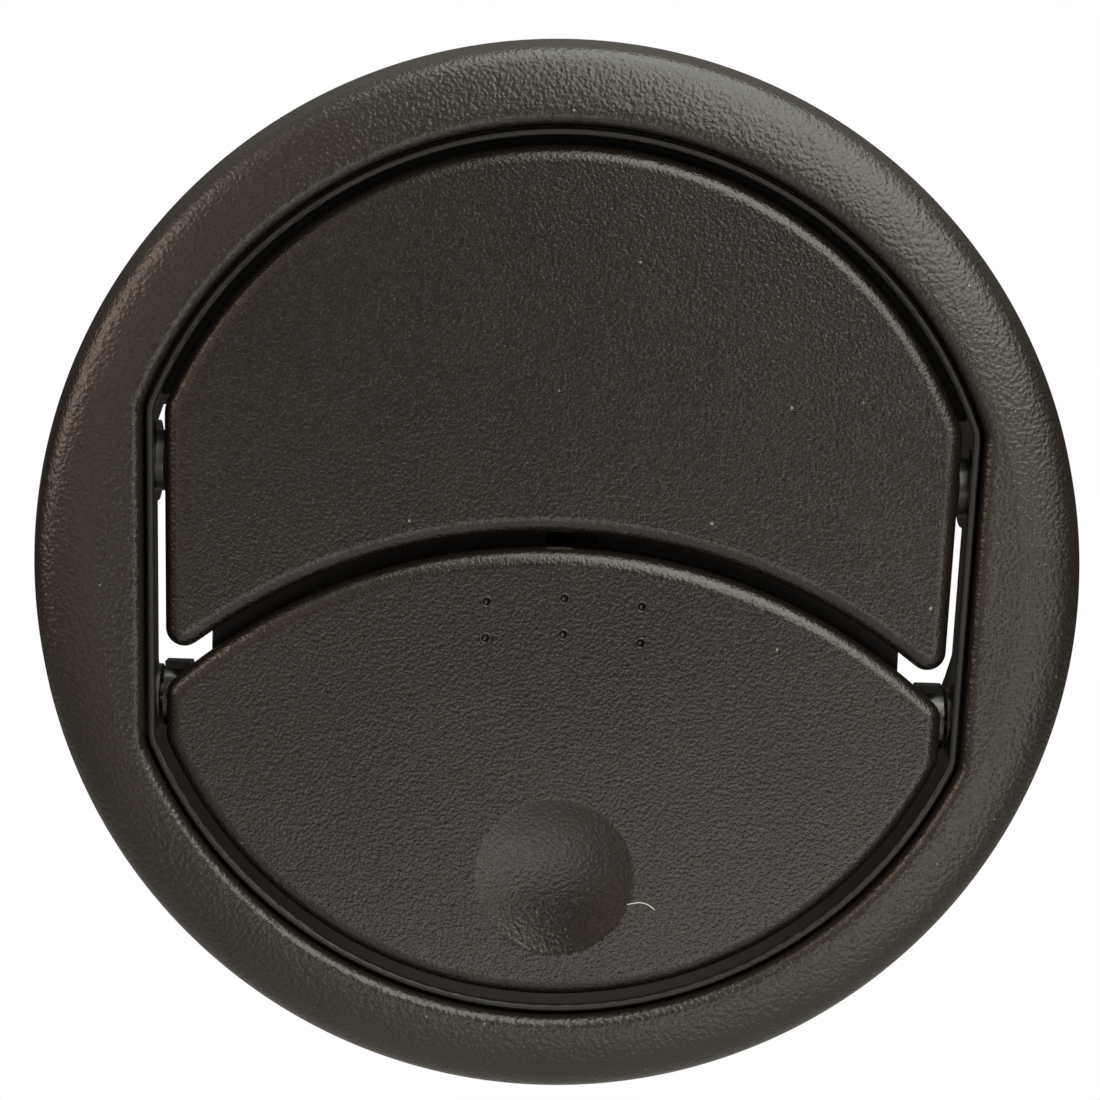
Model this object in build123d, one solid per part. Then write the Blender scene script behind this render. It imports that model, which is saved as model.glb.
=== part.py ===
from build123d import *
from math import sqrt
import os

# Round dashboard vent. Vent axis along Y, front towards -Y, Z up.
# The dash panel's front face is the plane y = 0. All sizes in mm.

# Front view
outer_radius = 43.0
ring_width = 8.1
flat_depth = 2.6
flat_lean = 0.027
opening_corner = 2.5
flap_gap = 0.7
side_gap = 0.8

# Where the two flaps meet
split_flatter = 12.0
split_top = 2.25
split_gap = 1.25

# Depths along Y
bezel_back_y = -0.8
bezel_front_y = -9.0
lip_front_y = -7.8
web_front_y = -6.4
web_thick = 1.4
ring_flange_thick = 1.6
spigot_front_y = 12.0
barrel_depth = 17.0

# Walls and running clearances
lip_wall = 0.55
parting_gap = 0.3
bezel_wall = 1.7
bezel_roll = 2.2
cage_wall = 1.1
tube_relief = 0.9
swivel_gap = 0.35
thrust_gap = 0.05
barrel_wall = 1.9
spigot_wall = 1.4
pivot_clear = 0.05
open_eye_clear = 0.3

# Flaps
flap_thick = 2.4
flap_edge = 1.4
upper_corner = 1.5
lower_corner = 1.7
flap_front_y = -8.0
shut_lip_thick = 1.0
shut_lip_reach = 1.6
shut_lip_gap = 1.4
shut_lip_inset = 3.6
ledge_reach = 1.2
ledge_thick = 1.4
pivot_depth = 4.2
upper_pivot_z = 8.0
lower_pivot_z = -11.0
pin_radius = 1.4
ear_radius = 2.9
ear_thick = 2.0
ear_proud = 0.0
dish_radius = 6.4
dish_depth = 1.0
dish_round = 0.9
dish_rise = 9.9
rib_thick = 1.4
rib_spread = 13.0
pit_pitch = 6.2
pit_rows = (3.95, 6.85)
pit_radius = 0.32
thumb_shift = 0.45

# Pivot bushes
bush_wall = 0.6
bush_flange = 0.6
bush_flange_wide = 0.4
bush_end_gap = 0.4

# Coupling link
crank_back = 5.0
crank_down = 7.0
crank_radius = 1.3
crank_rib = 2.0
link_thick = 1.9
link_wall = 1.35
link_side_gap = 0.12

# Snap arms that hold the collar in the dash
panel_thick = 2.5
arm_wide = 10.0
arm_slot = 1.2
arm_root_y = 11.5
barb_high = 1.3

# Snap fingers that hold the cage in the collar
finger_wide = 12.0
finger_slot = 1.2
finger_root_y = 2.0
ledge_y = 9.0
hook_high = 0.85
hook_long = 2.2
notch_wide = 24.0

# Seals
friction_ring_wide = 2.3
seal_thick = 2.0
seal_inset = 0.4

# Worked out from the sizes above
opening_radius = outer_radius - ring_width
flat_half = opening_radius - flat_depth
bezel_gap = lip_wall + parting_gap
tube_in = opening_radius + tube_relief
tube_out = tube_in + cage_wall
bore_radius = tube_out + swivel_gap
barrel_radius = bore_radius + barrel_wall
relief_radius = barrel_radius - 1.4
spigot_radius = bore_radius + spigot_wall
skirt_in = outer_radius - 1.7
ring_flange_radius = skirt_in - 0.3
collar_flange_radius = skirt_in - 0.1
collar_flange_front = -1.6
cage_flange_back = -2.6
flap_radius = opening_radius - flap_gap
flap_half = flat_half - side_gap
split_radius = flap_radius + split_flatter
split_z = split_top - split_radius
pivot_y = flap_front_y + pivot_depth
flap_back_y = flap_front_y + flap_thick
ear_x = flap_half + ear_proud
lug_x = ear_x + bush_end_gap + bush_flange
bush_radius = pin_radius + pivot_clear + bush_wall
lug_radius = bush_radius + 1.2
pin_end_x = lug_x + 1.9
crank_y = pivot_y + crank_back
link_radius = crank_radius + pivot_clear + link_wall
rib_x = link_thick / 2 + link_side_gap


def prism(face, front, back):
    # carries a front-view outline back along the vent axis
    return extrude(Plane.XZ.offset(-front) * face, amount=front - back)


def bar(face, start, end):
    # carries a side-view outline along the pivot direction
    return extrude(Plane.YZ.offset(start) * face, amount=end - start)


def tube(radius_out, radius_in, front, back):
    return prism(Circle(radius_out) - Circle(radius_in), front, back)


def turned(points):
    # ring turned about the vent axis from radius and depth points
    return revolve(make_face(Polyline(*points, close=True)), Axis.Y)


def around(shape, angle):
    # turns a piece made at the top of the ring to its place
    return Rot(0, angle, 0) * shape


def round_with_flats(radius, half):
    # circle with two flat sides that close in a little towards the bottom
    top = half + flat_lean * radius
    low = half - flat_lean * radius
    slab = Polygon((-top, radius), (-low, -radius), (low, -radius), (top, radius), align=None)
    return Circle(radius) & slab


def opening(grow):
    outline = round_with_flats(opening_radius + grow, flat_half + grow)
    return fillet(outline.vertices(), opening_corner + grow)


def bezel_ring():
    crown = opening_radius + bezel_gap + bezel_roll + 0.2
    height = bezel_back_y - bezel_front_y
    wall_top = (outer_radius - 0.3, bezel_front_y + 0.52 * height)
    dome = Spline(
        (crown, bezel_front_y),
        (crown + 0.5 * (outer_radius - crown), bezel_front_y + 0.09 * height),
        wall_top,
        tangents=((1, 0), (0.06, 1)),
    )
    rest = Polyline(
        wall_top,
        (outer_radius, bezel_back_y),
        (flat_half - 3, bezel_back_y),
        (flat_half - 3, bezel_front_y),
        (crown, bezel_front_y),
    )
    body = revolve(make_face(dome + rest), Axis.Y)
    body -= prism(opening(bezel_gap), bezel_front_y - 1, bezel_back_y + 1)
    front = body.faces().filter_by(Axis.Y).sort_by(Axis.Y)[0]
    body = fillet(front.inner_wires()[0].edges(), bezel_roll)
    body -= prism(Circle(skirt_in), web_front_y, bezel_back_y + 1)
    pocket_y = bezel_front_y + bezel_wall
    pocket = turned(
        [
            (flat_half - 3, pocket_y),
            (skirt_in - 2.0, pocket_y),
            (skirt_in, pocket_y + 2.2),
            (skirt_in, web_front_y + 1),
            (flat_half - 3, web_front_y + 1),
        ]
    )
    pocket -= prism(opening(bezel_gap + bezel_wall), bezel_front_y, web_front_y + 2)
    body -= pocket
    return body + bezel_catches()


def bezel_catches():
    # six catches inside the skirt that grip behind the cage flange
    catch = turned(
        [
            (ring_flange_radius - 0.5, cage_flange_back),
            (skirt_in + 0.3, cage_flange_back),
            (skirt_in + 0.3, cage_flange_back + 0.7),
        ]
    )
    catch &= Pos(0, cage_flange_back, skirt_in) * Box(6, 4, 8)
    return [around(catch, 30 + 60 * i) for i in range(6)]


def swivel_cage():
    body = prism(opening(lip_wall) - opening(0), lip_front_y, web_front_y + 0.5)
    rim = body.faces().filter_by(Axis.Y).sort_by(Axis.Y)[0]
    body = fillet(rim.edges(), 0.4 * lip_wall)
    web_back = web_front_y + web_thick
    body += prism(Circle(tube_out + 1.2) - opening(0), web_front_y, web_back)
    body += tube(tube_out, tube_in, web_back - 0.2, ledge_y + 0.25 + hook_long)
    flange_front = cage_flange_back - ring_flange_thick
    body += tube(ring_flange_radius, tube_out - 0.3, flange_front, cage_flange_back)
    body += tube(tube_out + 1.2, tube_out - 0.3, web_back - 0.2, flange_front + 0.2)
    body += closing_stop()
    for pivot_z in (upper_pivot_z, lower_pivot_z):
        for lug in both_sides(pivot_lug(pivot_z)):
            body += lug
    for pivot_z in (upper_pivot_z, lower_pivot_z):
        for hole in both_sides(pivot_hole(pivot_z)):
            body -= hole
    slots = finger_slots()
    body -= [around(slots, 45 + 90 * i) for i in range(4)]
    body += [around(finger_hook(), 45 + 90 * i) for i in range(4)]
    for notch in both_sides(rear_notch()):
        body -= notch
    return body


def rear_notch():
    # shorter tube wall beside the flap ends, between the hooks
    return Pos(tube_in, ledge_y + 8.5, 0) * Box(10, 20, notch_wide)


def both_sides(shape):
    return [shape, mirror(shape, about=Plane.YZ)]


def closing_stop():
    # ledge along the top arc, which the upper flap closes against
    front = flap_back_y + 0.3
    ledge = tube(tube_in + 0.4, flap_radius - ledge_reach, front, front + ledge_thick)
    low_z = upper_pivot_z + ear_radius + 2.5
    return ledge & Pos(0, 0, low_z + outer_radius) * Box(2 * outer_radius, 30, 2 * outer_radius)


def pivot_lug(pivot_z):
    # boss inside the cage wall that carries one pivot bush
    side = Pos(pivot_y, pivot_z) * Circle(lug_radius)
    side += Pos((web_front_y + pivot_y) / 2, pivot_z) * Rectangle(pivot_y - web_front_y, 2 * lug_radius)
    side &= Pos(web_front_y + 10, pivot_z) * Rectangle(20, 20)
    return bar(side, lug_x, tube_out + 1) & prism(Circle(tube_out - 0.2), web_front_y, 10)


def pivot_hole(pivot_z):
    # seat for one bush, sunk for its flange where the web closes in
    centre = Pos(pivot_y, pivot_z)
    sink = bar(centre * Circle(bush_radius + bush_flange_wide + 0.1), lug_x - 2, lug_x)
    return sink + bar(centre * Circle(bush_radius), lug_x - 1, tube_out + 2)


def finger_slots():
    length = hook_long + ledge_y + 2 - finger_root_y
    slot = Box(finger_slot, length, 6, align=(Align.CENTER, Align.MIN, Align.CENTER))
    reach = (finger_wide + finger_slot) / 2
    pair = Pos(-reach, finger_root_y, tube_out - 0.5) * slot
    return pair + Pos(reach, finger_root_y, tube_out - 0.5) * slot


def finger_hook():
    # sloped hook on one finger, flat towards the collar's ledge
    front = ledge_y + 0.25
    wedge = turned(
        [
            (tube_out - 0.4, front),
            (tube_out + hook_high, front),
            (tube_out + hook_high, front + 0.5),
            (tube_out, front + hook_long),
            (tube_out - 0.4, front + hook_long),
        ]
    )
    return wedge & Pos(0, front, tube_out) * Box(finger_wide, 10, 8)


def flap_outline():
    return round_with_flats(flap_radius, flap_half)


def flap_panel(outline):
    panel = prism(outline, flap_front_y, flap_back_y)
    front = panel.faces().filter_by(Axis.Y).sort_by(Axis.Y)[0]
    return fillet(front.outer_wire().edges(), flap_edge)


def flap_pivots(pivot_z):
    # ears behind the flap's ends, each with a stub pin
    side = Pos(pivot_y, pivot_z) * Circle(ear_radius)
    side += Pos((flap_back_y + pivot_y) / 2, pivot_z) * Rectangle(pivot_y - flap_back_y, 2 * ear_radius)
    ear = bar(side, ear_x - ear_thick, ear_x)
    pin = bar(Pos(pivot_y, pivot_z) * Circle(pin_radius), ear_x - 0.5, pin_end_x)
    pin = chamfer(pin.edges().filter_by(GeomType.CIRCLE).sort_by(Axis.X)[-1], 0.3)
    return ear + pin


def flap_rib(pivot_z):
    # stiffening rib along the pivot line
    deep = pivot_depth - flap_thick
    long = 2 * (ear_x - ear_thick) + 0.4
    rib = Box(long, deep, rib_thick, align=(Align.CENTER, Align.MIN, Align.CENTER))
    return Pos(0, flap_back_y, pivot_z) * rib


def back_ribs(low_z, high_z):
    # two upright ribs that keep the flap flat
    deep = 0.7 * (pivot_depth - flap_thick)
    rib = Box(rib_thick, deep, high_z - low_z, align=(Align.CENTER, Align.MIN, Align.MIN))
    return [Pos(x, flap_back_y, low_z) * rib for x in (-rib_spread, rib_spread)]


def crank_arm(pivot_z, foot_low):
    # rib behind the flap with the stub that takes the link's eye
    crank_z = pivot_z - crank_down
    foot = Polygon(
        (flap_back_y - 0.4, pivot_z + 2.0),
        (flap_back_y - 0.4, pivot_z - foot_low),
        (crank_y - 0.5 * link_radius, crank_z - 0.8 * link_radius),
        (crank_y + 0.9 * link_radius, crank_z + 0.2 * link_radius),
        align=None,
    )
    side = foot + Pos(crank_y, crank_z) * Circle(0.9 * link_radius)
    arm = bar(side, rib_x, rib_x + crank_rib)
    stub = bar(Pos(crank_y, crank_z) * Circle(crank_radius), -rib_x - 0.8, rib_x + 0.5)
    head = bar(Pos(crank_y, crank_z) * Circle(crank_radius + 0.4), -rib_x - 0.8, -rib_x)
    return arm + stub + head


def shut_lip():
    # strip behind the split that keeps it dark, open in the middle for the link
    edge = split_radius + split_gap
    front = flap_back_y + shut_lip_gap
    centre = Pos(0, split_z)
    strip = centre * (Circle(edge + shut_lip_reach) - Circle(split_radius - shut_lip_reach))
    root = centre * (Circle(edge + shut_lip_reach) - Circle(edge + 0.2))
    lip = prism(strip, front, front + shut_lip_thick) + prism(root, flap_back_y - 0.2, front + 0.1)
    half = flap_half - shut_lip_inset
    keep = Pos(0, 0, split_z + split_radius) * Box(2 * half, 30, 2 * split_radius)
    keep -= Box(2 * rib_x, 40, 4 * split_radius)
    return lip & keep


def upper_flap():
    outline = flap_outline() - Pos(0, split_z) * Circle(split_radius + split_gap)
    rows = outline.vertices().group_by(Axis.Y)
    outline = fillet(rows[0], upper_corner)
    outline = fillet(outline.vertices().group_by(Axis.Y)[-1], 3.0)
    body = flap_panel(outline) + flap_rib(upper_pivot_z) + crank_arm(upper_pivot_z, 4.0)
    body += shut_lip()
    body += back_ribs(upper_pivot_z, upper_pivot_z + 14)
    for side in both_sides(flap_pivots(upper_pivot_z)):
        body += side
    return body


def lower_flap():
    outline = flap_outline() & Pos(0, split_z) * Circle(split_radius)
    outline = fillet(outline.vertices(), lower_corner)
    panel = flap_panel(outline) - thumb_dish()
    front = panel.faces().filter_by(Axis.Y).sort_by(Axis.Y)[0]
    panel = fillet(front.inner_wires()[0].edges(), dish_round)
    body = panel - thumb_pits() + flap_rib(lower_pivot_z) + crank_arm(lower_pivot_z, 8.0)
    body += back_ribs(lower_pivot_z - 14, lower_pivot_z)
    for side in both_sides(flap_pivots(lower_pivot_z)):
        body += side
    return body


def thumb_dish():
    ball = (dish_radius**2 + dish_depth**2) / (2 * dish_depth)
    return Pos(thumb_shift, flap_front_y + dish_depth - ball, dish_rise - flap_radius) * Sphere(ball)


def thumb_pits():
    # two rows of three small pits that follow the lower flap's top edge
    pits = []
    for drop in pit_rows:
        for x in (-pit_pitch, 0, pit_pitch):
            z = split_z + sqrt((split_radius - drop) ** 2 - x**2)
            pits.append(Pos(x + thumb_shift, flap_front_y, z) * Sphere(pit_radius))
    return pits


def pivot_bush(pivot_z):
    centre = Pos(pivot_y, pivot_z)
    bush = bar(centre * Circle(bush_radius), lug_x - bush_flange, pin_end_x - 0.2)
    bush += bar(centre * Circle(bush_radius + bush_flange_wide), lug_x - bush_flange, lug_x)
    return bush - bar(centre * Circle(pin_radius + pivot_clear), lug_x - 2, pin_end_x + 2)


def coupling_link():
    top_z = upper_pivot_z - crank_down
    low_z = lower_pivot_z - crank_down
    span = upper_pivot_z - lower_pivot_z
    side = Pos(crank_y, (top_z + low_z) / 2) * Rectangle(1.2 * link_radius, span)
    side += Pos(crank_y, top_z) * Circle(link_radius)
    side += Pos(crank_y, low_z) * Circle(link_radius)
    side -= Pos(crank_y, top_z) * Circle(crank_radius + pivot_clear)
    side -= Pos(crank_y, low_z) * Circle(crank_radius + open_eye_clear)
    return bar(side, -link_thick / 2, link_thick / 2)


def collar():
    body = tube(barrel_radius, bore_radius, collar_flange_front, spigot_front_y)
    body += tube(spigot_radius, bore_radius, spigot_front_y, barrel_depth)
    body -= tube(relief_radius, bore_radius - 1, ledge_y, ledge_y + hook_long + 1.4)
    flange = tube(collar_flange_radius, bore_radius, collar_flange_front, 0)
    body += chamfer(flange.edges().group_by(Axis.Y)[0].sort_by(SortBy.RADIUS)[-1], 0.4)
    slots = arm_slots()
    body -= [around(slots, 90 * i) for i in range(4)]
    body += [around(arm_barb(), 90 * i) for i in range(4)]
    return body + turning_keys()


def arm_slots():
    # U-shaped slot that frees one snap arm from the barrel
    length = arm_root_y - panel_thick
    reach = (arm_wide + arm_slot) / 2
    side = Box(arm_slot, length, 8, align=(Align.CENTER, Align.MIN, Align.CENTER))
    cross = Box(arm_wide + 2 * arm_slot, 0.8, 8, align=(Align.CENTER, Align.MIN, Align.CENTER))
    slot = cross + Pos(-reach, 0, 0) * side + Pos(reach, 0, 0) * side
    return Pos(0, panel_thick - 0.2, barrel_radius - 1) * slot


def arm_barb():
    # ramp on the snap arm, steep towards the dash panel
    catch = panel_thick + 0.6
    wedge = turned(
        [
            (barrel_radius - 0.4, catch),
            (barrel_radius + 0.2, catch),
            (barrel_radius + barb_high, catch + 0.9),
            (barrel_radius + barb_high, catch + 1.6),
            (barrel_radius, arm_root_y - 1.0),
            (barrel_radius - 0.4, arm_root_y - 1.0),
        ]
    )
    return wedge & Pos(0, catch, barrel_radius) * Box(arm_wide - 1.0, 30, 12)


def turning_keys():
    # two ribs under the flange that stop the collar turning in the dash
    rib = Box(3.0, 2.0, 1.4, align=(Align.CENTER, Align.MIN, Align.CENTER))
    key = Pos(0, -0.2, barrel_radius + 0.4) * rib
    return [around(key, 45), around(key, 225)]


def swivel_friction_ring():
    start = bore_radius + 0.6
    return tube(start + friction_ring_wide, start, cage_flange_back, collar_flange_front - thrust_gap)


def duct_seal():
    return tube(spigot_radius - seal_inset, bore_radius, barrel_depth, barrel_depth + seal_thick)


os.makedirs("parts", exist_ok=True)
export_step(collar(), "parts/collar.step")
export_step(duct_seal(), "parts/duct_seal.step")
export_step(bezel_ring(), "parts/bezel_ring.step")
export_step(swivel_cage(), "parts/swivel_cage.step")
export_step(swivel_friction_ring(), "parts/swivel_friction_ring.step")
export_step(upper_flap(), "parts/upper_flap.step")
export_step(lower_flap(), "parts/lower_flap.step")
export_step(coupling_link(), "parts/coupling_link.step")
for label, pivot_height in (("upper", upper_pivot_z), ("lower", lower_pivot_z)):
    right, left = both_sides(pivot_bush(pivot_height))
    export_step(right, f"parts/{label}_right_bush.step")
    export_step(left, f"parts/{label}_left_bush.step")
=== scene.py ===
import math

import bmesh
import bpy
from mathutils import Matrix, Vector


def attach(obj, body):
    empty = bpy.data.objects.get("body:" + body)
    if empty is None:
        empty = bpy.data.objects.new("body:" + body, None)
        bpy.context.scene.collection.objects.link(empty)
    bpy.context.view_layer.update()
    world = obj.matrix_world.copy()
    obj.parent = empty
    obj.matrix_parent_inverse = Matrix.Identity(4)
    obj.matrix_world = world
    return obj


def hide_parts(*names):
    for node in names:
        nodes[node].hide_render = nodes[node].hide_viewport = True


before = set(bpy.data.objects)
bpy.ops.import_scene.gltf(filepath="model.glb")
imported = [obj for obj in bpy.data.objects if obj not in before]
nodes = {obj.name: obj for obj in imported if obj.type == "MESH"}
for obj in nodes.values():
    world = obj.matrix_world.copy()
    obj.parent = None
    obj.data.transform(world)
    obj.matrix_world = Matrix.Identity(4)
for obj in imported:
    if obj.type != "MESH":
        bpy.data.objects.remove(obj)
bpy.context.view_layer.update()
mm = 0.001
print("frame loaded:", len(nodes), "nodes")


def link(tree, fromSocket, toSocket):
    tree.links.new(fromSocket, toSocket)


def feed(tree, socket, value):  # a plain value or another node's output
    if isinstance(value, (int, float, tuple)):
        socket.default_value = value
    else:
        link(tree, value, socket)


def addNode(tree, kind, **values):
    node = tree.nodes.new(kind)
    for name, value in values.items():
        setattr(node, name, value)
    return node


def mathNode(tree, operation, *values):
    node = addNode(tree, "ShaderNodeMath", operation=operation)
    for socket, value in zip(node.inputs, values):
        feed(tree, socket, value)
    return node.outputs["Value"]


def mapRange(tree, value, fromLow, fromHigh, toLow, toHigh):
    node = addNode(tree, "ShaderNodeMapRange")
    limits = {"From Min": fromLow, "From Max": fromHigh, "To Min": toLow, "To Max": toHigh}
    for name, number in limits.items():
        node.inputs[name].default_value = number
    link(tree, value, node.inputs["Value"])
    return node.outputs["Result"]


def splitVector(tree, vector):
    node = addNode(tree, "ShaderNodeSeparateXYZ")
    link(tree, vector, node.inputs[0])
    return node.outputs


def blend(tree, kind, share, outside, inside):
    mix = addNode(tree, "ShaderNodeMix", data_type=kind)
    sockets = [socket for socket in mix.inputs if socket.enabled]
    for socket, value in zip(sockets, (share, outside, inside)):
        feed(tree, socket, value)
    return next(socket for socket in mix.outputs if socket.enabled)


def noiseNode(tree, vector, size, detail=2.0, rough=0.5):
    node = addNode(tree, "ShaderNodeTexNoise")
    node.inputs["Scale"].default_value = 1.0 / size  # size of one blotch in metres
    node.inputs["Detail"].default_value = detail
    node.inputs["Roughness"].default_value = rough
    link(tree, vector, node.inputs["Vector"])
    return node.outputs["Fac"]


def cellNode(tree, vector, size):
    node = addNode(tree, "ShaderNodeTexVoronoi", feature="SMOOTH_F1")
    node.inputs["Scale"].default_value = 1.0 / size
    link(tree, vector, node.inputs["Vector"])
    return node.outputs["Distance"]


def bumpNode(tree, height, distance):
    node = addNode(tree, "ShaderNodeBump")
    node.inputs["Distance"].default_value = distance
    node.inputs["Strength"].default_value = 1.0
    link(tree, height, node.inputs["Height"])
    return node.outputs["Normal"]


noiseSpan = (0.3, 0.7)  # where a noise value mostly lies
toneSpan = (0.3, 0.75)
speckSet = dict(wobbleSize=0.00012, wobble=(0.5, 1.4), facing=-0.5)


def dusted(tree, place, colour, dust):
    flat = splitVector(tree, place)
    front = addNode(tree, "ShaderNodeCombineXYZ")  # specks lie in the front plane
    link(tree, flat["X"], front.inputs["X"])
    link(tree, flat["Z"], front.inputs["Y"])
    speck = addNode(tree, "ShaderNodeTexVoronoi", voronoi_dimensions="2D")
    speck.inputs["Scale"].default_value = 1.0 / dust["apart"]
    link(tree, front.outputs[0], speck.inputs["Vector"])
    chance = addNode(tree, "ShaderNodeSeparateColor")
    link(tree, speck.outputs["Color"], chance.inputs[0])
    largest = dust["radius"] / dust["apart"]
    reach = mapRange(tree, chance.outputs[0], 1.0 - dust["share"], 1.0, 0.0, largest)
    uneven = noiseNode(tree, place, speckSet["wobbleSize"], 1.0)
    wobble = mapRange(tree, uneven, *noiseSpan, *speckSet["wobble"])
    away = mathNode(tree, "MULTIPLY", speck.outputs["Distance"], wobble)
    spot = mathNode(tree, "LESS_THAN", away, reach)
    normal = splitVector(tree, addNode(tree, "ShaderNodeTexCoord").outputs["Normal"])
    spot = mathNode(tree, "MULTIPLY", spot, mathNode(tree, "LESS_THAN", normal["Y"], speckSet["facing"]))
    return blend(tree, "RGBA", spot, colour, (*dust["colour"], 1))


def smoothInsidePaintedShade(tree, place, inside):  # 1 on the side walls behind the front face, which are smooth and take a darker colour as painted shade
    depth = splitVector(tree, place)["Y"]
    normal = splitVector(tree, addNode(tree, "ShaderNodeTexCoord").outputs["Normal"])
    front, fade, back = (inside[key] * mm for key in ("front", "fade", "back"))
    rise = mapRange(tree, depth, front, front + fade, 0.0, 1.0)
    fall = mapRange(tree, depth, back, back + fade, 1.0, 0.0)
    notBack = mathNode(tree, "LESS_THAN", normal["Y"], inside["facing"])
    return mathNode(tree, "MULTIPLY", mathNode(tree, "MULTIPLY", rise, fall), notBack)


def mouldedPlastic(name, look):
    material = bpy.data.materials.new(name)
    material.use_nodes = True
    tree = material.node_tree
    shader = tree.nodes["Principled BSDF"]
    place = addNode(tree, "ShaderNodeTexCoord").outputs["Object"]
    ramp = addNode(tree, "ShaderNodeValToRGB")
    for stop, position, tone in zip(ramp.color_ramp.elements, toneSpan, ("dark", "light")):
        stop.position = position
        stop.color = (*look[tone], 1)
    link(tree, noiseNode(tree, place, look["blotch"], 3.0), ramp.inputs["Fac"])
    colour = ramp.outputs["Color"]
    if "dust" in look:
        colour = dusted(tree, place, colour, look["dust"])
    grain = mathNode(tree, "MULTIPLY", cellNode(tree, place, look["grain"]), look["cellWeight"])
    pebble = noiseNode(tree, place, look["pebble"], 2.0, 0.55)
    height = mathNode(tree, "ADD", grain, mathNode(tree, "MULTIPLY", pebble, look["noiseWeight"]))
    rough = mapRange(tree, pebble, *noiseSpan, *look["rough"])
    if "inside" in look:
        inside = look["inside"]
        # painted shade: walls behind the front face get a darker colour for the shade in the gaps, and lose
        # their bump
        share = smoothInsidePaintedShade(tree, place, inside)
        colour = blend(tree, "RGBA", share, colour, (*inside["colour"], 1))
        rough = blend(tree, "FLOAT", share, rough, inside["rough"])
        height = mathNode(tree, "MULTIPLY", height, mathNode(tree, "SUBTRACT", 1.0, share))
    link(tree, colour, shader.inputs["Base Color"])
    link(tree, rough, shader.inputs["Roughness"])
    link(tree, bumpNode(tree, height, look["relief"]), shader.inputs["Normal"])
    shader.inputs["Specular IOR Level"].default_value = look["specular"]
    return material


plasticLooks = {
    "bezelGrain": dict(
        dark=(0.0085, 0.0062, 0.0048), light=(0.0125, 0.0092, 0.0072), blotch=0.012,
        grain=0.00033, cellWeight=-1.0, pebble=0.00021, noiseWeight=0.7, relief=0.000062,
        rough=(0.27, 0.38), specular=0.5,
        dust=dict(apart=0.0045, share=0.25, radius=0.00010, colour=(0.16, 0.155, 0.145)),
    ),
    "flapStipple": dict(
        dark=(0.0066, 0.0047, 0.0036), light=(0.0094, 0.0069, 0.0053), blotch=0.010,
        grain=0.00027, cellWeight=-0.9, pebble=0.00017, noiseWeight=0.8, relief=0.000042,
        rough=(0.22, 0.32), specular=0.5,
        # painted shade: the flap's walls behind its front face are smooth and get a darker colour for the
        # shade in the gaps
        inside=dict(
            front=-6.6, fade=0.4, back=8.0, facing=0.3, colour=(0.0036, 0.0029, 0.0024), rough=0.18
        ),
        dust=dict(apart=0.0060, share=0.28, radius=0.00011, colour=(0.16, 0.155, 0.145)),
    ),
    "cageSatin": dict(
        dark=(0.006, 0.005, 0.0045), light=(0.010, 0.0085, 0.0075), blotch=0.006,
        grain=0.0006, cellWeight=0.5, pebble=0.0004, noiseWeight=0.5, relief=0.00001,
        rough=(0.42, 0.56), specular=0.4,
        # painted shade: the cage's walls behind the opening are smooth and get a darker colour for the shade
        # in the gaps
        inside=dict(
            front=-7.5, fade=0.5, back=3.0, facing=0.3, colour=(0.0020, 0.0017, 0.0015), rough=0.18
        ),
    ),
    "collarMatt": dict(
        dark=(0.008, 0.008, 0.008), light=(0.014, 0.014, 0.0135), blotch=0.008,
        grain=0.0009, cellWeight=0.5, pebble=0.0005, noiseWeight=0.6, relief=0.00002,
        rough=(0.45, 0.62), specular=0.4,
    ),
    "linkAcetal": dict(
        dark=(0.008, 0.008, 0.008), light=(0.013, 0.013, 0.0125), blotch=0.004,
        grain=0.0005, cellWeight=0.5, pebble=0.0004, noiseWeight=0.5, relief=0.000006,
        rough=(0.36, 0.48), specular=0.45,
    ),
    "bushAcetal": dict(
        dark=(0.034, 0.034, 0.032), light=(0.046, 0.046, 0.043), blotch=0.002,
        grain=0.0004, cellWeight=0.5, pebble=0.0003, noiseWeight=0.5, relief=0.000005,
        rough=(0.30, 0.42), specular=0.5,
    ),
    "frictionRubber": dict(
        dark=(0.006, 0.006, 0.006), light=(0.011, 0.011, 0.011), blotch=0.004,
        grain=0.0005, cellWeight=0.5, pebble=0.0003, noiseWeight=0.6, relief=0.00002,
        rough=(0.7, 0.85), specular=0.3,
    ),
    "sealFoam": dict(
        dark=(0.014, 0.014, 0.014), light=(0.034, 0.034, 0.034), blotch=0.0009,
        grain=0.0007, cellWeight=1.0, pebble=0.0004, noiseWeight=1.0, relief=0.00025,
        rough=(0.8, 0.95), specular=0.2,
    ),
    "dustGrey": dict(
        dark=(0.42, 0.41, 0.39), light=(0.62, 0.61, 0.58), blotch=0.0002,
        grain=0.0001, cellWeight=0.5, pebble=0.0001, noiseWeight=0.5, relief=0.000003,
        rough=(0.8, 0.95), specular=0.2,
    ),
}
finishes = {name: mouldedPlastic(name, look) for name, look in plasticLooks.items()}
print("materials made:", len(finishes))


def newObject(name, mesh):
    piece = bpy.data.objects.new(name, mesh)
    bpy.context.scene.collection.objects.link(piece)
    return piece


def evaluatedMesh(piece):
    bpy.context.view_layer.update()
    depsgraph = bpy.context.evaluated_depsgraph_get()
    return bpy.data.meshes.new_from_object(piece.evaluated_get(depsgraph))


def setInput(modifier, name, value):
    for item in modifier.node_group.interface.items_tree:
        if item.item_type == "SOCKET" and item.in_out == "INPUT" and item.name == name:
            modifier[item.identifier] = value


def outwards(mesh, weld=0.0):
    work = bmesh.new()
    work.from_mesh(mesh)
    if weld:
        bmesh.ops.remove_doubles(work, verts=work.verts, dist=weld * mm)
    bmesh.ops.recalc_face_normals(work, faces=work.faces)
    work.to_mesh(mesh)
    work.free()


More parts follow.
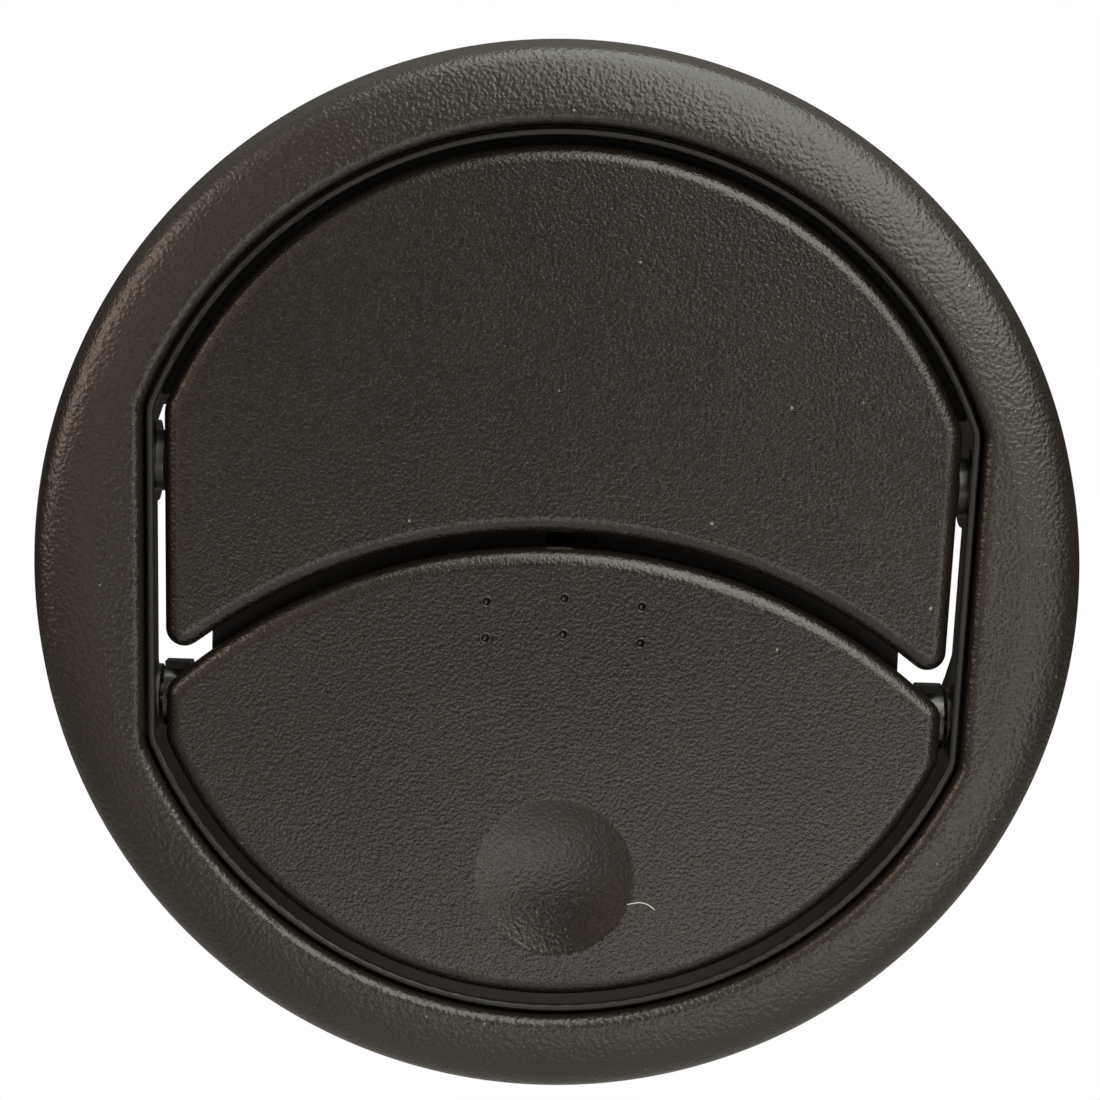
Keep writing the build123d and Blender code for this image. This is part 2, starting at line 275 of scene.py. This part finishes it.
class treeMath:  # arithmetic on the sockets of one tree
    def __init__(self, tree):
        self.tree = tree

    def op(self, operation, *values):
        return mathNode(self.tree, operation, *values)

    def add(self, *values):
        total = values[0]
        for value in values[1:]:
            total = self.op("ADD", total, value)
        return total

    def sub(self, a, b):
        return self.op("SUBTRACT", a, b)

    def mul(self, a, b):
        return self.op("MULTIPLY", a, b)

    def step(self, walk, start):  # 0 before the segment, 1 after it
        return self.op("MINIMUM", self.op("MAXIMUM", self.sub(walk, start), 0.0), 1.0)

    def power(self, base, exponent):
        return self.op("POWER", self.op("MAXIMUM", base, 0.0), exponent)


def startTree(name, settings):
    tree = bpy.data.node_groups.new(name, "GeometryNodeTree")
    tree.interface.new_socket("Geometry", in_out="OUTPUT", socket_type="NodeSocketGeometry")
    for key, value in settings.items():
        kind = "NodeSocketInt" if isinstance(value, int) else "NodeSocketFloat"
        tree.interface.new_socket(key, in_out="INPUT", socket_type=kind)
    return tree, tree.nodes.new("NodeGroupInput").outputs, treeMath(tree)


def movePoints(tree, geometry, calc, x, y, z):
    point = tree.nodes.new("ShaderNodeCombineXYZ")
    for axis, value in zip("XYZ", (x, y, z)):
        link(tree, calc.mul(value, mm), point.inputs[axis])
    move = tree.nodes.new("GeometryNodeSetPosition")
    link(tree, geometry, move.inputs["Geometry"])
    link(tree, point.outputs[0], move.inputs["Position"])
    return move.outputs[0]


def endTree(tree, geometry, finish):
    real = tree.nodes.new("GeometryNodeRealizeInstances")
    shade = tree.nodes.new("GeometryNodeSetShadeSmooth")
    paint = tree.nodes.new("GeometryNodeSetMaterial")
    paint.inputs["Material"].default_value = finishes[finish]
    out = tree.nodes.new("NodeGroupOutput")
    link(tree, geometry, real.inputs[0])
    link(tree, real.outputs[0], shade.inputs[0])
    link(tree, shade.outputs[0], paint.inputs[0])
    link(tree, paint.outputs[0], out.inputs[0])
    return tree


def fromTree(name, tree, settings):
    piece = newObject(name, bpy.data.meshes.new(name))
    modifier = piece.modifiers.new("rule", "NODES")
    modifier.node_group = tree
    for key, value in settings.items():
        setInput(modifier, key, value)
    plain = evaluatedMesh(piece)
    piece.modifiers.clear()
    piece.data = plain
    outwards(piece.data)
    return piece


# closed ring: one section in ten segments, swept round an opening with two leaning flats
bezelSet = dict(
    outerRadius=43.0, openingRadius=35.75, flatHalf=33.15, flatLean=0.027, cornerBlend=0.25,
    frontY=-9.0, backY=-0.8, webY=-6.4, roll=0.8, crown=37.0, wallLean=1.0,
    domeLean=0.9, domeDeep=3.36, domePower=0.5, skirtIn=41.3, wall=1.7,
    pocketY=-7.3, pocketSideY=-5.1, weld=0.002, around=600, rowsEach=9, segments=10,
)
bezelSharpDeg = 40


def bezelTree():
    tree, given, calc = startTree("bezelRingRule", bezelSet)
    grid = tree.nodes.new("GeometryNodeMeshGrid")
    grid.inputs["Size X"].default_value = 1.0
    grid.inputs["Size Y"].default_value = 1.0
    link(tree, calc.add(given["around"], 1), grid.inputs["Vertices X"])
    link(tree, calc.add(calc.mul(given["rowsEach"], given["segments"]), 1), grid.inputs["Vertices Y"])
    place = splitVector(tree, tree.nodes.new("GeometryNodeInputPosition").outputs[0])
    angle = calc.mul(calc.add(place["X"], 0.5), 2 * math.pi)
    walk = calc.mul(calc.add(place["Y"], 0.5), given["segments"])
    cosine = calc.op("COSINE", angle)
    sine = calc.op("SINE", angle)
    reach = calc.sub(calc.op("ABSOLUTE", cosine), calc.mul(given["flatLean"], sine))
    flat = calc.op("DIVIDE", given["flatHalf"], calc.op("MAXIMUM", reach, 0.05))
    inner = calc.op("SMOOTH_MIN", given["openingRadius"], flat, given["cornerBlend"])
    step = [calc.step(walk, index) for index in range(bezelSet["segments"])]
    rollTurn = calc.mul(step[1], math.pi / 2)
    domeTurn = calc.mul(step[3], math.pi / 2)
    domeOut = calc.power(calc.op("SINE", domeTurn), given["domePower"])
    domeIn = calc.power(calc.op("COSINE", domeTurn), given["domePower"])
    wallTop = calc.sub(given["outerRadius"], given["wallLean"])
    wallHigh = calc.sub(
        calc.sub(given["backY"], given["frontY"]),
        calc.add(given["domeDeep"], given["domeLean"]),
    )
    radius = calc.add(
        inner,
        calc.mul(given["roll"], calc.sub(1.0, calc.op("COSINE", rollTurn))),
        calc.mul(step[2], calc.sub(calc.sub(given["crown"], inner), given["roll"])),
        calc.mul(calc.sub(wallTop, given["crown"]), domeOut),
        calc.mul(step[4], given["wallLean"]),
        calc.mul(step[5], calc.sub(given["skirtIn"], given["outerRadius"])),
        calc.mul(step[7], calc.sub(calc.add(inner, given["wall"]), given["skirtIn"])),
        calc.mul(step[9], calc.mul(given["wall"], -1.0)),
    )
    depth = calc.add(
        given["webY"],
        calc.mul(step[0], calc.sub(calc.add(given["frontY"], given["roll"]), given["webY"])),
        calc.mul(calc.mul(given["roll"], -1.0), calc.op("SINE", rollTurn)),
        calc.mul(given["domeDeep"], calc.sub(1.0, domeIn)),
        calc.mul(given["domeLean"], domeOut),
        calc.mul(step[4], wallHigh),
        calc.mul(step[6], calc.sub(given["pocketSideY"], given["backY"])),
        calc.mul(step[7], calc.sub(given["pocketY"], given["pocketSideY"])),
        calc.mul(step[8], calc.sub(given["webY"], given["pocketY"])),
    )
    ring = movePoints(
        tree, grid.outputs["Mesh"], calc, calc.mul(radius, cosine), depth, calc.mul(radius, sine)
    )
    weld = tree.nodes.new("GeometryNodeMergeByDistance")
    link(tree, ring, weld.inputs["Geometry"])
    link(tree, calc.mul(given["weld"], mm), weld.inputs["Distance"])
    return endTree(tree, weld.outputs[0], "bezelGrain")


bezel = fromTree("bezelRing", bezelTree(), bezelSet)
bezel.data.set_sharp_from_angle(angle=math.radians(bezelSharpDeg))
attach(bezel, "rotor")
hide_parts("bezel_ring")
print("bezel ring:", len(bezel.data.polygons), "faces")


smoothSet = dict(weld=0.002, thinEdge=0.0005, sharpDeg=32, sameFlat=0.9999995)


def planeAreas(work):  # area of the flat patch that each face belongs to
    areas = [0.0] * len(work.faces)
    seen = [False] * len(work.faces)
    for face in work.faces:
        if seen[face.index]:
            continue
        seen[face.index] = True
        patch = [face]
        for member in patch:  # grows while flat neighbours are found
            for edge in member.edges:
                for other in edge.link_faces:
                    flat = other.normal.dot(face.normal) > smoothSet["sameFlat"]
                    if flat and not seen[other.index]:
                        seen[other.index] = True
                        patch.append(other)
        total = sum(member.calc_area() for member in patch)
        for member in patch:
            areas[member.index] = total
    return areas


def cornerNormals(work):  # large flats keep their normal, fillets turn smoothly into them
    areas = planeAreas(work)
    limit = math.cos(math.radians(smoothSet["sharpDeg"]))
    normals = []
    for face in work.faces:
        for corner in face.loops:
            total = Vector()
            for other in corner.vert.link_loops:
                if other.face.normal.dot(face.normal) >= limit:
                    total += other.face.normal * (areas[other.face.index] * other.calc_angle())
            normals.append(total.normalized() if total.length > 0 else face.normal.copy())
    return normals


def smoothCopy(nodeName, pieceName, finish):
    mesh = nodes[nodeName].data.copy()
    work = bmesh.new()
    work.from_mesh(mesh)
    bmesh.ops.remove_doubles(work, verts=work.verts, dist=smoothSet["weld"] * mm)
    bmesh.ops.dissolve_degenerate(work, edges=work.edges, dist=smoothSet["thinEdge"] * mm)
    work.normal_update()
    work.faces.ensure_lookup_table()
    work.faces.index_update()
    normals = cornerNormals(work)
    work.to_mesh(mesh)
    work.free()
    mesh.materials.clear()
    mesh.materials.append(finishes[finish])
    mesh.shade_smooth()
    mesh.normals_split_custom_set(normals)
    return newObject(pieceName, mesh)


cageSet = dict(piece="swivelCage", finish="cageSatin", body="rotor", slot="cage_plastic")
upperSet = dict(piece="upperFlap", finish="flapStipple", body="upper_flap", slot="flap_plastic")
lowerSet = dict(piece="lowerFlap", finish="flapStipple", body="lower_flap", slot="flap_plastic")
collarSet = dict(piece="collarBarrel", finish="collarMatt", body="collar", slot="collar_plastic")
sealSet = dict(piece="ductSeal", finish="sealFoam", body="collar", slot="seal_foam")
linkSet = dict(
    piece="couplingLink", finish="linkAcetal", body="link", slot="link_plastic",
    widen=1.115,  # 0.1 mm a side, closes the hairline of light beside the link
)
frictionSet = dict(piece="frictionRing", finish="frictionRubber", body="rotor", slot="friction_rubber")
bushSet = dict(finish="bushAcetal", body="rotor", slot="bush_plastic")
mouldedPieces = {
    "swivel_cage": cageSet,
    "upper_flap": upperSet,
    "lower_flap": lowerSet,
    "collar": collarSet,
    "duct_seal": sealSet,
    "coupling_link": linkSet,
    "swivel_friction_ring": frictionSet,
    "upper_right_bush": dict(piece="upperRightBush", **bushSet),
    "upper_left_bush": dict(piece="upperLeftBush", **bushSet),
    "lower_right_bush": dict(piece="lowerRightBush", **bushSet),
    "lower_left_bush": dict(piece="lowerLeftBush", **bushSet),
}
for nodeName, plan in mouldedPieces.items():
    piece = smoothCopy(nodeName, plan["piece"], plan["finish"])
    if "widen" in plan:
        piece.data.transform(Matrix.Diagonal((plan["widen"], 1, 1, 1)))
    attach(piece, plan["body"])
    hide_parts(nodeName)
print("moulded pieces:", len(mouldedPieces))


# small raised rims round the six pits, in two rows that follow the flap's top edge
rimSet = dict(
    pitch=6.2, upperDrop=3.95, lowerDrop=6.85, splitRadius=46.2, splitZ=-43.95, shift=0.45,
    frontY=-8.0, rimRadius=0.40, rimThick=0.11, rimProud=0.01,
    columns=3, rows=2, aroundRim=40, aroundWire=14,
)


def circleCurve(tree, points, radius):
    circle = tree.nodes.new("GeometryNodeCurvePrimitiveCircle")
    link(tree, points, circle.inputs["Resolution"])
    link(tree, radius, circle.inputs["Radius"])
    return circle.outputs["Curve"]


def pitRimTree():
    tree, given, calc = startTree("pitRimRows", rimSet)
    grid = tree.nodes.new("GeometryNodeMeshGrid")
    grid.inputs["Size Y"].default_value = 1.0
    link(tree, given["columns"], grid.inputs["Vertices X"])
    link(tree, given["rows"], grid.inputs["Vertices Y"])
    link(tree, calc.mul(given["pitch"], 2.0), grid.inputs["Size X"])
    place = splitVector(tree, tree.nodes.new("GeometryNodeInputPosition").outputs[0])
    isUpper = calc.op("GREATER_THAN", place["Y"], 0.0)
    lift = calc.sub(given["upperDrop"], given["lowerDrop"])
    reach = calc.sub(given["splitRadius"], calc.add(given["lowerDrop"], calc.mul(isUpper, lift)))
    rise = calc.op("SQRT", calc.sub(calc.mul(reach, reach), calc.mul(place["X"], place["X"])))
    spots = movePoints(
        tree, grid.outputs["Mesh"], calc,
        calc.add(place["X"], given["shift"]),
        calc.sub(given["frontY"], given["rimProud"]),
        calc.add(given["splitZ"], rise),
    )
    sweep = tree.nodes.new("GeometryNodeCurveToMesh")
    path = circleCurve(tree, given["aroundRim"], calc.mul(given["rimRadius"], mm))
    wire = circleCurve(tree, given["aroundWire"], calc.mul(given["rimThick"], mm))
    link(tree, path, sweep.inputs["Curve"])
    link(tree, wire, sweep.inputs["Profile Curve"])
    rims = tree.nodes.new("GeometryNodeInstanceOnPoints")
    rims.inputs["Rotation"].default_value = (math.pi / 2, 0, 0)
    link(tree, spots, rims.inputs["Points"])
    link(tree, sweep.outputs[0], rims.inputs["Instance"])
    return endTree(tree, rims.outputs[0], "flapStipple")


pitRims = fromTree("pitRims", pitRimTree(), rimSet)
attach(pitRims, "lower_flap")
print("pit rims:", len(pitRims.data.polygons), "faces")


# one bent lint fibre lying beside the thumb dish
fibreSet = dict(
    path=((6.4, -26.35), (7.0, -26.2), (7.6, -26.15), (8.2, -26.35), (8.65, -26.75)),
    y=-8.04, thick=0.038, weld=0.0005,
)


def lintFibre(settings):
    curve = bpy.data.curves.new("lintPath", "CURVE")
    curve.dimensions = "3D"
    curve.bevel_depth = settings["thick"] * mm
    curve.bevel_resolution = 2
    curve.use_fill_caps = True
    line = curve.splines.new("NURBS")
    line.points.add(len(settings["path"]) - 1)
    for point, (x, z) in zip(line.points, settings["path"]):
        point.co = (x * mm, settings["y"] * mm, z * mm, 1.0)
    line.use_endpoint_u = True
    line.order_u = 3
    guide = newObject("lintGuide", curve)
    mesh = evaluatedMesh(guide)
    bpy.data.objects.remove(guide)
    outwards(mesh, settings["weld"])
    mesh.materials.clear()
    mesh.materials.append(finishes["dustGrey"])
    return newObject("lintFibre", mesh)


fibre = lintFibre(fibreSet)
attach(fibre, "lower_flap")
print("lint fibre laid")


stageSet = dict(
    floorZ=-0.36, floorSize=2.9, rearEdge=0.9, shade=0.72, uneven=0.015, blotch=0.05, rough=0.9, specular=0.1,
)


def plainStage(name, settings):
    material = bpy.data.materials.new(name)
    material.use_nodes = True
    tree = material.node_tree
    shader = tree.nodes["Principled BSDF"]
    place = addNode(tree, "ShaderNodeTexCoord").outputs["Object"]
    low, high = settings["shade"] - settings["uneven"], settings["shade"] + settings["uneven"]
    tone = mapRange(tree, noiseNode(tree, place, settings["blotch"], 3.0), *noiseSpan, low, high)
    grey = addNode(tree, "ShaderNodeCombineColor")
    for socket in grey.inputs[:3]:
        link(tree, tone, socket)
    link(tree, grey.outputs[0], shader.inputs["Base Color"])
    shader.inputs["Roughness"].default_value = settings["rough"]
    shader.inputs["Specular IOR Level"].default_value = settings["specular"]
    return material


def stageFloor(settings):  # its rear edge stays just below the photo's frame
    work = bmesh.new()
    bmesh.ops.create_grid(work, x_segments=1, y_segments=1, size=settings["floorSize"] / 2)
    mesh = bpy.data.meshes.new("floor")
    work.to_mesh(mesh)
    work.free()
    middleY = settings["rearEdge"] - settings["floorSize"] / 2
    mesh.transform(Matrix.Translation((0, middleY, settings["floorZ"])))
    mesh.materials.append(plainStage("paleStage", settings))
    newObject("floor", mesh)


stageFloor(stageSet)

worldSet = dict(
    topFrom=0.15, topTo=0.9, top=0.5, frontFrom=-0.5, rearFrom=0.3, front=0.02, rear=0.04,
    colour=(1.0, 0.94, 0.85), white=1.0,
)


def studioWorld(settings):
    world = bpy.data.worlds.new("studio")
    bpy.context.scene.world = world
    world.use_nodes = True
    tree = world.node_tree
    tree.nodes.clear()
    way = splitVector(tree, addNode(tree, "ShaderNodeTexCoord").outputs["Generated"])
    above = mapRange(tree, way["Z"], settings["topFrom"], settings["topTo"], 0.0, settings["top"])
    level = mapRange(
        tree, way["Y"], settings["frontFrom"], settings["rearFrom"], settings["front"], settings["rear"]
    )
    fill = addNode(tree, "ShaderNodeBackground")
    fill.inputs["Color"].default_value = (*settings["colour"], 1)
    link(tree, mathNode(tree, "ADD", above, level), fill.inputs["Strength"])
    plain = addNode(tree, "ShaderNodeBackground")  # white behind the object
    plain.inputs["Color"].default_value = (1, 1, 1, 1)
    plain.inputs["Strength"].default_value = settings["white"]
    mix = addNode(tree, "ShaderNodeMixShader")
    link(tree, addNode(tree, "ShaderNodeLightPath").outputs["Is Camera Ray"], mix.inputs[0])
    link(tree, fill.outputs[0], mix.inputs[1])
    link(tree, plain.outputs[0], mix.inputs[2])
    link(tree, mix.outputs[0], addNode(tree, "ShaderNodeOutputWorld").inputs["Surface"])


studioWorld(worldSet)

lampSet = {
    "topSoftbox": dict(
        at=(0.19, -0.30, 0.25), aim=(0, 0, 0.01), size=(0.36, 0.34), watts=1.85, colour=(1, 0.985, 0.88)
    ),
    "overhead": dict(
        at=(0.07, -0.04, 0.42), aim=(0, 0, 0.02), size=(0.42, 0.38), watts=2.0, colour=(0.95, 1.0, 0.86)
    ),
    "lowCard": dict(
        at=(0.12, -0.42, -0.18), aim=(0, 0, -0.02), size=(0.46, 0.10), watts=0.54, colour=(1, 0.97, 0.89)
    ),
    "leftWarm": dict(
        at=(-0.22, -0.37, 0.05), aim=(0, 0, 0), size=(0.10, 0.26), watts=0.18, colour=(1, 0.72, 0.62)
    ),
    "leftWindow": dict(
        at=(-0.38, -0.14, 0.15), aim=(0, 0, 0), size=(0.14, 0.30), watts=0.8, colour=(1, 0.80, 0.66)
    ),
    "rightFill": dict(
        at=(0.25, -0.36, -0.02), aim=(0, 0, 0), size=(0.12, 0.26), watts=0.18, colour=(1, 0.92, 0.83)
    ),
}
for name, lamp in lampSet.items():
    light = bpy.data.lights.new(name, "AREA")
    light.shape = "RECTANGLE"
    light.size, light.size_y = lamp["size"]
    light.energy = lamp["watts"]
    light.color = lamp["colour"]
    holder = newObject(name, light)
    holder.location = lamp["at"]
    toAim = Vector(lamp["aim"]) - Vector(lamp["at"])
    holder.rotation_euler = toAim.to_track_quat("-Z", "Y").to_euler()

# found from the ring's outline, the opening's corners, the split and the pits
cameraSet = dict(
    distance=0.220, pitch=5.65, yaw=1.19, roll=-2.04, focalPixels=2670.6, centrePixel=(558.0, 568.3),
    imagePixels=1100.0, rimY=-0.0008, sensor=36.0, nearest=0.005,
)


def photoCamera(view):
    pitch, yaw, roll = (math.radians(view[name]) for name in ("pitch", "yaw", "roll"))
    turn = Matrix.Rotation(roll, 3, "Z") @ Matrix.Rotation(pitch, 3, "X") @ Matrix.Rotation(yaw, 3, "Y")
    facing = Matrix(((1, 0, 0), (0, 0, -1), (0, 1, 0))) @ turn.transposed()
    data = bpy.data.cameras.new("photoCamera")
    data.sensor_width = view["sensor"]
    data.lens = view["sensor"] * view["focalPixels"] / view["imagePixels"]
    half = view["imagePixels"] / 2
    data.shift_x = (half - view["centrePixel"][0]) / view["imagePixels"]
    data.shift_y = (view["centrePixel"][1] - half) / view["imagePixels"]
    data.clip_start = view["nearest"]
    camera = newObject("photoCamera", data)
    place = facing @ Vector((0, 0, view["distance"])) + Vector((0, view["rimY"], 0))
    camera.matrix_world = Matrix.Translation(place) @ facing.to_4x4()
    bpy.context.scene.camera = camera


photoCamera(cameraSet)
bpy.context.scene.view_settings.view_transform = "Standard"
print("stage, lamps and camera set")
